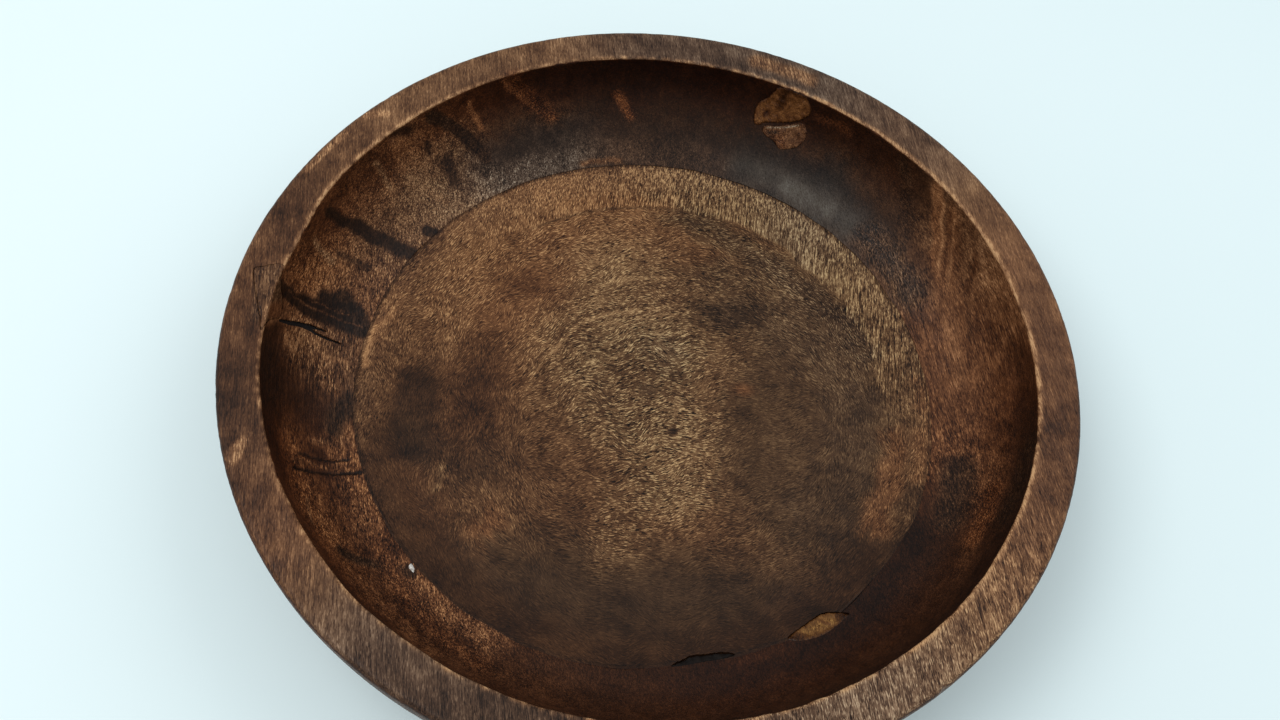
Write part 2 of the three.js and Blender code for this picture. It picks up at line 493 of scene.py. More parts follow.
def make_board():
    bearing = SEAM_BEARING + np.arange(BOARD_COLUMNS) * 360 / BOARD_COLUMNS
    edge = joint_s(bearing) + (GLUE_TOP - GLUE_LOW) / math.sin(math.radians(JOINT_SLOPE))
    top = []
    for ahead, sunk in [(0, 0.3), (0.35, 0.12), (0.8, 0.03)]:
        top.append(inside_points(bearing, edge + ahead, -sunk))
    top[0][:, 2] = GLUE_LOW
    inner = CENTRE_S - HALVING_RADIUS
    for t in np.linspace(0.02, 1, BOARD_ROWS):
        top.append(inside_points(bearing, edge + (inner - edge) * t))
    radius = HALVING_RADIUS
    for fewer in halvings(bearing):
        rows = max(3, int(0.5 / math.radians(fewer[1] - fewer[0])))
        for r in np.linspace(radius, radius / 2, rows + 1)[1:]:
            top.append(inside_points(fewer, np.full(len(fewer), CENTRE_S - r)))
        radius = radius / 2
    top.append(inside_points(np.array([0.0]), np.array([CENTRE_S])))
    top.reverse()
    under = []
    for angle in np.linspace(outside_angle(GLUE_LOW), math.pi / 2, UNDER_ROWS):
        under.append(points_at(bearing, *outside_at(angle)))
    flange = top[-1] * 0.05 + under[0] * 0.95
    flange[:, 2] = GLUE_LOW
    for r in FOOT_LOOPS:
        under.append(points_at(bearing, r, 0))
    radius = HALVING_RADIUS
    for fewer in halvings(bearing):
        under.append(points_at(fewer, radius, 0))
        radius = radius * 0.55
    under.append(np.zeros((1, 3)))
    return make_object("turned_floor", *skin(top + [flange] + under))


def make_glue_film():
    bearing = SEAM_BEARING + np.arange(360.0)
    inner = joint_radius(bearing) + FILM_SETBACK_INSIDE
    outer = outside_at(outside_angle(GLUE_LOW))[0] - FILM_SETBACK_OUTSIDE
    corners = [(inner, GLUE_LOW), (inner, GLUE_TOP), (outer, GLUE_TOP), (outer, GLUE_LOW)]
    loops = [points_at(bearing, r, z) for r, z in corners]
    return make_object("glue_line", *closed_skin(loops))


# ---- fillers and plugs ----

GRID_STEP = 0.7


def seed_points(outline, rounded):
    """Points inside an outline: a loose grid, and close rows along a rounded edge."""
    closed = np.vstack([outline, outline[:1]])
    low, high = outline.min(axis=0), outline.max(axis=0)
    lines = [np.arange(low[k], high[k], GRID_STEP) for k in range(2)]
    grid = np.stack(np.meshgrid(*lines), axis=-1).reshape(-1, 2)
    random = np.random.default_rng(SEED + 50)
    grid = grid + random.uniform(-0.15, 0.15, grid.shape)
    clear = distance_to(grid, closed) > OUTLINE_STEP
    seeds = [grid[clear & is_inside(grid, outline)]]
    for inset in (0.22, 0.5) if rounded else ():
        band = outline - outward(outline) * inset
        kept = (distance_to(band, closed) > inset * 0.9) & is_inside(band, outline)
        seeds.append(band[kept][::2])
    return seeds


def triangles_over(outline, seeds):
    """Points, faces and edges at the border of a flat sheet with the outline."""
    count = len(outline)
    edges = [(i, (i + 1) % count) for i in range(count)]
    plane = [Vector(point) for point in np.vstack([outline] + seeds)]
    made = geometry.delaunay_2d_cdt(plane, edges, [], 0, 1e-5, False)
    plane = np.array([tuple(point) for point in made[0]])
    centres = np.array([plane[face].mean(axis=0) for face in made[2]])
    faces = [list(face) for face, kept in zip(made[2], is_inside(centres, outline)) if kept]
    used = dict.fromkeys(side for face in faces for side in zip(face, face[1:] + face[:1]))
    return plane, faces, [(a, b) for a, b in used if (b, a) not in used]


class Inlay:
    """A piece let into the surface, with an outline through corners of (bearing, s).

    gap is the pocket's clearance, widest towards open_side where that is given. lean holds
    the radial and upward parts of the way that its sides go into the wood. edge is how far in
    its top is rounded, rough is how uneven that top is, and proud is how far it stands out.
    """

    def __init__(
        self, name, corners, depth, gap=0.08, open_side=None, lean=None, edge=0.6, rough=0.12,
        proud=0.0,
    ):
        corners = np.array(corners, float)
        self.name = name
        self.depth = depth
        self.gap = gap
        self.open_side = open_side
        self.edge = edge
        self.rough = rough
        self.proud = proud
        self.middle = corners.mean(axis=0)
        self.scale = math.radians(float(inside_profile(self.middle[1])[0]))
        self.outline = rounded_outline(self.laid_out(corners))
        self.outline += 0.12 * outward(self.outline) * waves(self.outline, 0.9, 11)[:, None]
        if lean is None:
            normal = inside_normal(self.middle[1:2])
            lean = (-float(normal[0][0]), -float(normal[1][0]))
        self.lean = lean

    def laid_out(self, places):
        """Places given as (bearing, s), as points of the piece's own plane."""
        return (places - self.middle) * [self.scale, 1]

    def lay(self, plane, rise, sink):
        """Points of the plane laid on the bowl, raised by rise and moved sink into the wood."""
        bearing = self.middle[0] + plane[:, 0] / self.scale
        points = inside_points(bearing, self.middle[1] + plane[:, 1], rise)
        points[:, :2] += polar(bearing, self.lean[0]) * sink
        points[:, 2] += self.lean[1] * sink
        return points

    def top_shape(self, plane, outline):
        """How far the piece's top stands above the wood, with its rounded edge."""
        near = distance_to(plane, np.vstack([outline, outline[:1]]))
        fall = np.square(np.clip(1 - near / max(self.edge, 0.05), 0, 1))
        return self.proud - self.edge * 0.55 * fall + self.rough * waves(plane, 2.2, 12)

    def solid(self, name, grow, shaped, top_sink, bottom_sink):
        """A closed solid between two sheets with the outline, grown by grow."""
        sides = outward(self.outline)
        if grow and self.open_side:
            grow = grow * (0.12 + 0.88 * np.clip(sides @ self.open_side, 0, 1))[:, None]
        outline = self.outline + sides * grow
        seeds = seed_points(outline, self.edge > 0.3)
        plane, faces, border = triangles_over(outline, seeds)
        rise = self.top_shape(plane, outline) if shaped else 0.0
        top = self.lay(plane, rise, top_sink)
        bottom = self.lay(plane, 0.0, bottom_sink)
        total = len(plane)
        walls = [[a + total, b + total, b, a] for a, b in border]
        under = [[i + total for i in face[::-1]] for face in faces]
        return make_object(name, np.vstack([top, bottom]), faces + walls + under)

    def piece(self):
        return self.solid(self.name, 0.0, True, 0.0, self.depth)

    def pocket(self):
        """The room for the piece: a little wider and deeper, and open at the top."""
        return self.solid(self.name + "_pocket", self.gap, False, -2.5, self.depth + 0.4)


# The wood's faults, as corners of (bearing, s).
INLAYS = [
    Inlay("knot_upper", [
        (76.9, 43.2), (77.2, 37.5), (76.6, 32.5), (75.3, 28.5), (74.7, 24.5), (73.9, 20.8),
        (71.6, 19.7), (69.0, 19.9), (68.2, 22.4), (67.3, 27.0), (67.7, 31.6), (69.0, 35.7),
        (71.0, 38.9), (73.2, 41.2), (74.9, 42.9), (75.5, 44.4), (76.3, 45.0),
    ], depth=4.5, edge=0.9, rough=0.22),
    Inlay("knot_lower", [
        (74.9, 45.9), (74.1, 48.4), (72.2, 49.9), (70.6, 52.3), (69.2, 51.5), (67.5, 48.6),
        (66.8, 45.4), (66.5, 41.0), (67.2, 36.8), (68.1, 35.6), (69.3, 37.4), (70.9, 39.9),
        (72.6, 42.3), (74.2, 43.6),
    ], depth=3.0, edge=0.6, rough=0.3),
    Inlay("oval_mend", [
        (314.5, 73.4), (313.1, 73.2), (311.2, 72.8), (308.5, 72.5), (305.9, 73.8), (303.9, 75.7),
        (302.4, 78.6), (304.0, 80.0), (306.3, 80.7), (309.0, 81.2), (311.4, 80.7), (313.2, 77.6),
        (314.3, 75.0),
    ], depth=3.0, gap=0.15, edge=0.7, rough=0.22, proud=-0.1),
    Inlay("joint_fill", [
        (292.0, 79.9), (290.0, 79.6), (287.0, 79.6), (284.2, 79.3), (282.2, 78.9), (280.4, 78.8),
        (280.9, 80.1), (282.6, 81.5), (284.2, 82.9), (287.0, 82.7), (289.8, 82.3), (291.4, 81.1),
    ], depth=2.2, gap=0.2, edge=0.8, rough=0.3, proud=-0.45),
    Inlay("wall_crack", [
        (184.4, 30.5), (183.75, 34.5), (183.35, 37.5), (182.4, 42.5), (181.8, 48.0),
        (181.65, 54.0), (181.35, 60.0), (181.0, 65.5), (180.7, 65.0), (180.85, 59.0),
        (181.0, 54.0), (180.85, 51.5), (180.15, 57.0), (179.8, 57.2), (180.35, 50.0),
        (181.0, 45.5), (181.75, 41.0), (182.6, 37.0), (183.35, 33.0), (184.1, 30.0),
    ], depth=2.6, gap=0.05, edge=0.2, rough=0.0, proud=-0.8),
    Inlay("rim_corner", [
        (188.5, 17.9), (186.5, 16.4), (184.5, 14.2), (182.5, 11.9), (180.4, 9.2), (178.3, 7.3),
        (177.7, 10.2), (177.2, 13.2), (176.8, 16.2), (176.9, 18.8), (178.3, 20.0), (179.5, 23.0),
        (180.2, 26.5), (181.3, 29.6), (182.8, 30.6), (184.1, 29.3), (184.9, 26.6), (186.0, 22.6),
        (187.4, 19.8),
    ], depth=4.0, gap=0.45, open_side=(0.55, -0.83), lean=(0.7, -0.7), edge=0.35, rough=0.05),
]


# ---- where the stain, the figure and the painted light and shade lie ----

# Lightness runs from 0, nearly black, to 1, pale gold. Warmth runs from -1, grey, to 1, orange.
# Curves of both round the bowl, as (bearing, value), for the rim and three heights of the wall.
RIM_LIGHT = [
    (-65, 0.48), (-55, 0.62), (-35, 0.56), (-25, 0.54), (-12, 0.37), (5, 0.44), (15, 0.54),
    (38, 0.58), (55, 0.46), (65, 0.46), (75, 0.37), (88, 0.4), (103, 0.44), (115, 0.54),
    (128, 0.52), (145, 0.55), (155, 0.46), (165, 0.37), (178, 0.44), (195, 0.28), (203, 0.31),
    (215, 0.46), (235, 0.52), (245, 0.34), (258, 0.28), (275, 0.35),
]
RIM_WARM = [
    (-60, -0.25), (-20, 0.25), (20, 0.27), (50, -0.2), (70, -0.5), (95, -0.35), (115, 0.0),
    (160, 0.1), (185, 0.2), (200, 0.1), (220, 0.25), (240, -0.3), (260, -0.3),
]
RIM_FLECK = [
    (-65, 0.55), (-35, 0.42), (-15, 0.12), (10, 0.04), (45, 0.08), (80, 0.1), (110, 0.1),
    (140, 0.1), (185, 0.08), (215, 0.1), (260, 0.2),
]
# From about bearing 55 to 120 the wall just under the mouth is nearly black: partly the stain,
# partly painted shade under the rim.
WALL_TOP_LIGHT = [
    (-15, 0.05), (-5, 0.12), (5, 0.27), (15, 0.5), (25, 0.58), (35, 0.44), (45, 0.2),
    (55, 0.1), (65, 0.08), (90, 0.04), (105, 0.02), (115, 0.07), (122, 0.12), (132, 0.28),
    (145, 0.43), (155, 0.34), (165, 0.3), (175, 0.42), (185, 0.19), (195, 0.02), (205, 0.13),
    (215, 0.23), (225, 0.24), (235, 0.14), (250, 0.13), (300, 0.12),
]
WALL_MIDDLE_LIGHT = [
    (-15, 0.33), (-5, 0.32), (5, 0.38), (15, 0.48), (28, 0.44), (36, 0.5), (45, 0.27),
    (55, 0.24), (78, 0.16), (105, 0.14), (115, 0.3), (125, 0.24), (135, 0.48), (145, 0.54),
    (155, 0.46), (165, 0.52), (175, 0.7), (185, 0.5), (195, 0.18), (205, 0.42), (215, 0.5),
    (225, 0.39), (240, 0.42), (250, 0.28), (255, 0.24), (290, 0.18), (320, 0.18), (335, 0.3),
]
WALL_LOWER_LIGHT = [
    (-15, 0.38), (-5, 0.4), (5, 0.45), (15, 0.52), (25, 0.54), (35, 0.32), (45, 0.19),
    (55, 0.13), (65, 0.09), (80, 0.14), (95, 0.2), (115, 0.2), (125, 0.17), (135, 0.4),
    (145, 0.56), (155, 0.47), (165, 0.46), (175, 0.58), (185, 0.5), (195, 0.22), (205, 0.24),
    (215, 0.34), (225, 0.33), (245, 0.25), (255, 0.28), (275, 0.18), (305, 0.15), (315, 0.12),
    (325, 0.18), (335, 0.16),
]
WALL_LOW_LIGHT = [
    (-15, 0.28), (-5, 0.54), (5, 0.46), (15, 0.44), (25, 0.44), (38, 0.34), (50, 0.26),
    (60, 0.28), (75, 0.27), (95, 0.31), (105, 0.31), (113, 0.36), (125, 0.41), (135, 0.62),
    (145, 0.55), (155, 0.47), (165, 0.48), (175, 0.42), (185, 0.43), (195, 0.34), (205, 0.58),
    (215, 0.55), (223, 0.34), (235, 0.52), (245, 0.5), (255, 0.26), (270, 0.21), (290, 0.1),
    (310, 0.08), (325, 0.08), (335, 0.04), (343, 0.24),
]
WALL_TOP_WARM = [
    (-15, 0.5), (0, 0.7), (15, 0.45), (30, 0.25), (42, 0.1), (50, 0.55), (65, 0.75), (85, 1.0),
    (110, 0.9), (125, 0.85), (140, 0.6), (175, 0.75), (190, 0.5), (205, 1.0), (220, 0.9),
    (250, 0.6), (300, 0.3), (330, 0.4),
]
# From about bearing 45 to 85 the lower wall turns grey, most of all at bearing 58: partly the
# wood's own grey, partly a painted sheen.
WALL_LOW_WARM = [
    (-15, 0.6), (20, 0.55), (35, 0.25), (45, -0.2), (58, -0.85), (72, -0.6), (85, -0.25),
    (100, -0.2), (115, -0.6), (128, -0.5), (140, -0.05), (155, 0.2), (170, 0.5), (185, 0.3),
    (205, 0.65), (230, 0.55), (260, 0.45), (300, 0.7), (330, 0.5),
]

# How pale the corner at the mouth is painted, by bearing: partly real wear, partly a painted
# highlight on its rounded edge.
MOUTH_WEAR_AND_HIGHLIGHT = [
    (-20, 0.8), (20, 0.9), (60, 0.95), (80, 0.6), (95, 0.25), (120, 0.25), (132, 0.7),
    (165, 0.9), (185, 0.5), (200, 0.3), (230, 0.35), (260, 0.4), (300, 0.5),
]

# Strokes of stain and figure, and of a painted sheen, on the wall and the rim: corners of
# (bearing, s), half width in millimetres, softness, lightness, warmth and fleck. Those from
# TWICE_FROM on are laid twice.
TWICE_FROM = 300
RING_STROKES = [
    # the rim's mends and pale patches
    ([(79, 9), (70, 9)], 5, 0.7, 0.58, 0.1, 0.4),
    ([(160, 4), (151, 4)], 2.0, 0.5, 0.66, 0.2, 0.5),
    ([(146, 4), (144, 8)], 2.5, 0.5, 0.7, 0.2, 0.5),
    ([(208, 4), (206, 9)], 2.5, 0.5, 0.66, 0.2, 0.5),
    ([(186, 14.5), (180, 12)], 3.5, 0.7, 0.36, -0.1, 0.3),
    # the far wall
    # A painted sheen: two soft bluish-grey strokes, one inside the other, low on the far wall.
    ([(76, 67), (50, 67)], 10, 1.0, 0.3, -1.0, 0.0),
    ([(66, 68), (56, 68)], 6, 1.0, 0.5, -1.0, 0.0),
    ([(122, 22), (119.5, 34), (116, 46)], 5.5, 1.0, 0.3, 0.9, 0.5),
    ([(124, 21), (121.5, 32), (118, 42), (115, 49)], 1.5, 0.9, 0.42, 0.8, 0.6),
    ([(103, 40), (100.5, 50)], 3.0, 0.7, 0.4, 0.9, 0.5),
    ([(130.5, 27), (129.2, 42)], 1.7, 0.6, 0.62, 0.7, 0.5),
    ([(111, 73), (103, 73)], 2.0, 1.0, 0.48, 0.3, 0.4),
    ([(65, 28), (60, 27)], 3.5, 1.0, 0.22, 0.8, 0.3),
    # the right wall
    ([(48, 24), (44, 40), (39, 58)], 4.0, 0.8, 0.2, 0.0, 0.2),
    ([(35.5, 26), (32, 38), (27, 50), (18, 56)], 5.5, 1.0, 0.52, 0.5, 0.25),
    ([(40.2, 23), (38.9, 29), (37.3, 35), (33.6, 46), (28, 54), (19, 60), (8, 62)],
     3.8, 0.45, 0.58, 0.5, 0.25),
    ([(37.9, 27), (36.4, 33), (34.4, 40), (30.6, 50)], 1.1, 1.0, 0.78, 0.4, 0.2),
    ([(36.2, 27), (34.6, 34), (32.6, 41), (28.6, 51)], 0.9, 1.0, 0.38, 0.5, 0.2),
    ([(34.4, 28), (32.8, 35), (30.6, 42), (26.6, 52)], 0.9, 1.0, 0.68, 0.4, 0.2),
    ([(27, 30), (24, 44), (16, 52)], 2.0, 1.0, 0.42, 0.4, 0.2),
    ([(45, 66), (30, 68)], 9, 0.8, 0.28, -0.1, 0.6),
    ([(-10, 64), (-20, 62)], 8, 1.0, 0.2, 0.0, 0.3),
    ([(-10, 24), (-20, 30)], 7, 1.0, 0.06, 0.0, 0.2),
    # the golden wall at the left, with its sharp edge to the dark end grain
    ([(138, 24), (133, 40), (130.5, 56)], 3.4, 0.3, 0.14, -0.1, 0.3),
    ([(163, 29), (160.4, 43), (158, 56), (155.3, 76)], 2.6, 0.6, 0.11, -0.1, 0.1),
    ([(160, 46), (158, 57), (155.3, 76)], 4.4, 0.45, 0.1, -0.1, 0.1),
    ([(166, 46), (164, 62)], 2.2, 1.0, 0.26, 0.1, 0.3),
    ([(161.5, 58), (161, 66)], 1.2, 1.0, 0.3, 0.3, 0.4),
    ([(150.5, 28), (150, 44)], 2.0, 1.0, 0.64, 0.2, 0.7),
    ([(168.5, 30), (168, 46)], 2.2, 1.0, 0.66, 0.2, 0.7),
    ([(146, 46), (142, 66)], 2.6, 1.0, 0.66, 0.1, 0.7),
    ([(149, 71), (148.5, 76)], 3.0, 0.5, 0.12, -0.1, 0.2),
    ([(138, 50), (138, 60)], 4.0, 0.7, 0.18, -0.1, 0.3),
    ([(140, 38), (140, 41)], 2.5, 0.6, 0.2, 0.0, 0.3),
    ([(145, 20), (143, 24)], 4.0, 0.8, 0.14, 0.1, 0.3),
    # the broken corner and the cracked wall below it
    ([(185.5, 21), (182.5, 30)], 5.0, 0.5, 0.52, 0.5, 0.2),
    ([(180.2, 20), (178.4, 40), (177, 54)], 3.4, 0.5, 0.07, 0.0, 0.1),
    ([(178.2, 42), (176.8, 56), (176, 76)], 5.4, 0.4, 0.08, 0.0, 0.1),
    ([(174.5, 52), (172.5, 60), (174, 70)], 5.0, 0.4, 0.1, 0.0, 0.2),
    ([(189, 63), (184, 56), (182.4, 50)], 5.5, 0.9, 0.58, 0.4, 0.9),
    ([(178.8, 30), (177.4, 50), (175.6, 72)], 0.6, 1.0, 0.36, 0.4, 0.4),
    ([(176.8, 44), (174.6, 66)], 0.5, 1.0, 0.36, 0.4, 0.4),
    ([(185.5, 52), (184, 68)], 2.0, 1.0, 0.68, 0.4, 0.7),
    ([(190, 72), (186, 74)], 2.5, 0.8, 0.5, 0.2, 0.5),
    ([(198, 66), (192, 74)], 6.0, 0.6, 0.12, 0.0, 0.3),
    ([(208, 40), (207.8, 75)], 0.8, 0.8, 0.05, 0.1, 0.2),
    ([(205.2, 46), (205, 70)], 0.7, 0.8, 0.05, 0.1, 0.2),
    ([(206.7, 42), (206.3, 72)], 1.8, 0.8, 0.4, 0.6, 0.6),
    ([(202, 55), (201, 72)], 3.0, 1.0, 0.42, 0.5, 0.6),
    ([(217.5, 37), (214, 43)], 1.2, 0.8, 0.44, 0.4, 0.6),
    ([(223, 48), (226, 60), (229.5, 72)], 3.2, 0.6, 0.12, -0.1, 0.3),
    ([(250, 55), (232, 62), (222, 70)], 6.0, 1.0, 0.35, 0.7, 0.6),
    # the near wall
    ([(345, 44), (336, 46)], 5.0, 1.0, 0.34, 0.8, 0.5),
    ([(300, 76), (292, 75)], 3.0, 1.0, 0.19, 0.7, 0.05),
]

# Patches on the floor: x, y, half length, half width, turn, softness, lightness, warmth, fleck.
FLOOR_PATCHES = [
    (-50, 60, 85, 62, 35, 0.7, 0.6, 0.45, 0.75),
    (10, -102, 120, 32, 0, 0.6, 0.25, -0.1, 0.06),
    (80, -20, 48, 62, 10, 0.5, 0.34, -0.1, 0.3),
    (70, 45, 50, 40, -30, 0.7, 0.43, -0.1, 0.6),
    (-10, 20, 48, 42, 30, 0.8, 0.54, 0.0, 1.1),
    (-20, 62, 30, 26, 20, 0.9, 0.6, 0.1, 0.8),
    (30, 68, 26, 12, 10, 0.9, 0.34, 0.0, 0.8),
    (98, -68, 28, 20, -50, 0.8, 0.2, 0.0, 0.2),
    (5, -18, 34, 22, 0, 0.7, 0.56, 0.05, 1.2),
    (4, 20, 18, 16, 20, 0.9, 0.42, -0.1, 0.9),
    (12, -45, 26, 20, 10, 0.7, 0.6, 0.1, 1.2),
    (-5, -68, 22, 14, 80, 0.8, 0.5, 0.2, 0.9),
    (-20, 97, 24, 10, 10, 0.9, 0.58, 0.4, 0.7),
    (60, -8, 25, 42, 0, 0.5, 0.32, 0.0, 0.25),
    (31, 48, 22, 10, 8, 0.8, 0.24, -0.1, 0.5),
    (-103, -24, 31, 13, 84, 0.5, 0.19, 0.25, 0.1),
    (-97, -40, 16, 12, -30, 0.7, 0.2, 0.1, 0.15),
    (-70, -50, 16, 12, 20, 0.9, 0.27, 0.2, 0.3),
    (-76, -12, 36, 17, 82, 0.8, 0.28, 0.45, 0.25),
    (-62, 50, 18, 14, 30, 0.9, 0.38, 0.5, 0.4),
    (-74, 28, 13, 11, 0, 0.9, 0.44, 0.5, 0.4),
    (-124, 24, 9, 9, 0, 0.9, 0.5, 0.4, 0.5),
    (-92, -72, 28, 13, -45, 0.9, 0.5, 0.5, 0.3),
    (-60, -75, 12, 7, 80, 0.9, 0.48, 0.6, 0.5),
    (-84, -55, 9, 2.2, 75, 0.8, 0.52, 0.1, 0.6),
    (99, 7, 12, 6, 60, 0.8, 0.28, -0.1, 0.3),
    (-6, 4, 17, 18, 0, 0.9, 0.39, 0.1, 0.9),
    (43, 8, 5.5, 4, 0, 0.8, 0.46, 0.6, 0.3),
    (0, 1, 6, 4.5, 0, 0.9, 0.4, -0.1, 0.6),
    (13, -18, 2.6, 1.9, 0, 0.6, 0.1, -0.1, 0.3),
    (-18, 10, 2.8, 2.2, 0, 0.5, 0.26, 0.0, 0.4),
    (-18, 10.3, 1.3, 0.9, 0, 0.5, 0.5, 0.0, 0.3),
]
# Strokes on the floor: corners of (x, y), then as for the ring.
FLOOR_STROKES = [
    ([(-8, 108), (25, 96), (55, 78), (82, 58), (98, 38)], 9, 0.8, 0.34, -0.1, 0.9),
    ([(113, -8), (110, -30), (104, -50)], 8, 0.6, 0.52, 0.6, 0.5),
    ([(126, 20), (127, 0), (123, -26)], 5, 0.8, 0.62, 0.5, 0.6),
    ([(-72, 103), (-22, 105), (-2, 108)], 8, 0.9, 0.66, 0.45, 0.7),
    ([(24, 116), (8, 117)], 7, 0.9, 0.46, 0.1, 0.8),
    ([(-112, -60), (-90, -86)], 6, 1.0, 0.34, 0.3, 0.2),
    ([(35, 6), (35, -48)], 1.5, 1.0, 0.38, 0.0, 0.6),
    ([(-126.5, -8), (-127.4, 6), (-125.6, 20)], 2.4, 0.8, 0.86, 0.5, 0.4),
]
# The floor's grain and sanding lines curve about this point.
ARC_CENTRE = np.array([15.0, -20.0])
# Lightness, warmth and fleck of the outside and the underside, and of the line at the joint.
OUTSIDE_LOOK = (0.36, 0.15, 0.25)
JOINT_LOOK = (0.02, 0.0, 0.3)

# The dark line round a mend: how far in it fades, and how strong it is.
MEND_EDGE = 0.45
EDGE_STRENGTH = 0.6
PALE_EDGE_STRENGTH = {"rim_corner": 0.15}
# Lightness, warmth and fleck of each mend, and the strokes on it as for the ring.
MEND_LOOKS = {
    "knot_upper": (0.5, 0.3, 0.2),
    "knot_lower": (0.49, 0.3, 0.2),
    "oval_mend": (0.54, 0.1, 0.1),
    "joint_fill": (0.02, 0.0, 0.2),
    "wall_crack": (0.0, 0.0, 0.2),
    "rim_corner": (0.4, 0.0, 0.4),
}
MEND_STROKES = {
    "knot_upper": [
        ([(72.6, 22), (72.9, 31)], 2.4, 1.0, 0.14, 0.2, 0.3),
        ([(76.5, 20), (68, 19)], 2.4, 1.0, 0.2, 0.3, 0.3),
        ([(74.8, 36), (75.2, 39)], 1.2, 1.0, 0.18, 0.5, 0.3),
        ([(70.5, 30), (69.0, 26)], 2.0, 1.0, 0.58, 0.3, 0.3),
        ([(76.4, 42), (75.0, 43)], 1.2, 0.9, 0.62, 0.3, 0.4),
    ],
    "knot_lower": [
        ([(74.0, 44.4), (71.0, 41.4), (68.6, 37.4)], 0.6, 1.0, 0.8, -0.6, 0.6),
        ([(70.2, 50), (71.5, 47)], 2.5, 1.0, 0.5, 0.6, 0.4),
        ([(73.6, 46.5), (71.8, 45)], 1.0, 1.0, 0.24, 0.0, 0.4),
    ],
    "oval_mend": [
        ([(311.5, 75.5), (306, 78)], 2.2, 1.0, 0.66, 0.0, 0.3),
        ([(310.4, 75.5), (309.6, 79.0)], 0.8, 1.0, 0.44, 0.4, 0.2),
        ([(304.5, 76.5), (302, 79)], 2.8, 1.0, 0.24, 0.3, 0.2),
        ([(313.4, 75), (315, 74)], 3.0, 1.0, 0.18, 0.3, 0.2),
    ],
    "rim_corner": [
        ([(184.6, 22), (182.6, 28.5)], 4.5, 0.6, 0.5, 0.6, 0.2),
        # Two pale lines along the mouth's corner: partly real wear and partly a painted highlight,
        # as on the ring.
        ([(187.8, 17.6), (184.5, 17.6)], 1.0, 0.9, 0.72, 0.2, 0.4),
        ([(187.4, 18.4), (177, 18.4)], 0.7, 0.9, 0.62, 0.2, 0.4),
    ],
}


def place_of(points):
    """Bearing and s of points on the inside or near it. s is below zero on the outside."""
    bearing, r = polar_of(points)
    near_mouth = smooth(MOUTH_RADIUS + 15, MOUTH_RADIUS, r)
    near_mouth = near_mouth * smooth(MOUTH_RADIUS - 12, MOUTH_RADIUS, r)
    r = r + mouth_shift(bearing) * near_mouth
    z = points[:, 2]
    angle = np.arctan2((HEIGHT - z) / COVE_DEPTH, (r - FLOOR_RADIUS) / COVE_REACH)
    s = np.where(r < FLOOR_RADIUS, CENTRE_S - r, np.interp(angle, COVE_ANGLES, COVE_S))
    top = (z > HEIGHT - 0.8) & (RIM_RADIUS - r < RIM_WIDTH + 0.6)
    s = np.where(top, RIM_RADIUS - r, s)
    bulge = np.sqrt(1 - np.square(np.clip(1 - z / SHOULDER, 0, 1)))
    outer = FOOT_RADIUS + (RIM_RADIUS - FOOT_RADIUS) * bulge
    middle = (np.interp(-z, -COVE_Z, COVE_R) + outer) / 2
    s = np.where((z < SHOULDER) & (r > middle), -(SHOULDER - z) - 2, s)
    s = np.where(z < GLUE_LOW - 5, -SHOULDER - 5, s)
    return bearing, s


def over(layer, mask, light, warm, fleck):
    """Lays one patch of stain over what is there."""
    for key, value in (("light", light), ("warm", warm), ("fleck", fleck)):
        layer[key] += (value - layer[key]) * mask


def patch_mask(away, softness):
    """1 inside a patch and 0 outside it, where away is 1 at its edge."""
    return smooth(1 + softness / 2, 1 - softness, away)


def lay_strokes(layer, plane, strokes, laid_out, strength=1.0):
    """Lays strokes of stain. laid_out turns a stroke's corners into points of the plane."""
    for corners, half_width, softness, *look in strokes:
        line = laid_out(np.array(corners, float))
        away = distance_to(plane, line) / half_width
        over(layer, patch_mask(away, softness) * strength, *look)


def wander(plane, size, reach, seed):
    """The plane's points moved about, so that patches have natural edges."""
    moved = [waves(plane, size, seed + k) + 0.22 * waves(plane, size / 3, seed + 5 + k)
             for k in range(2)]
    return plane + reach * np.column_stack(moved)


def feathered(points, bearing, reach):
    """How far along the ring's grain each point is moved, as bearing and s in millimetres. It
    changes quickly across the grain, which gives a patch streaky edges along it."""
    axis = polar(np.array([RING_GRAIN]), 1.0)[0]
    across = np.column_stack([points[:, :2] @ [-axis[1], axis[0]], points[:, 2]])
    move = reach * waves(across, 2.2, 26)
    lean = np.radians(RING_GRAIN - bearing)
    return np.column_stack([move * np.sin(lean), -move * np.cos(lean)])


def ring_flow(count):
    """The ring's grain at each of its points. A grain's direction is held as its doubled angle."""
    doubled = math.radians(2 * RING_GRAIN)
    return np.tile([math.cos(doubled), math.sin(doubled), 0.0], (count, 1))


def lay_ring_strokes(layer, bearing, s, feather, strength):
    """Lays the ring's strokes. A second laying has other edges and deepens the stroke."""
    twice = [stroke for stroke in RING_STROKES if stroke[0][0][0] % 360 >= TWICE_FROM]
    for start, strokes in ((0, RING_STROKES), (360, twice)):
        moved = wander(unrolled(bearing, s, start), 9, 0.7, 21) + feather
        lay_strokes(layer, moved, strokes, lambda line: unrolled(*line.T, start), strength)


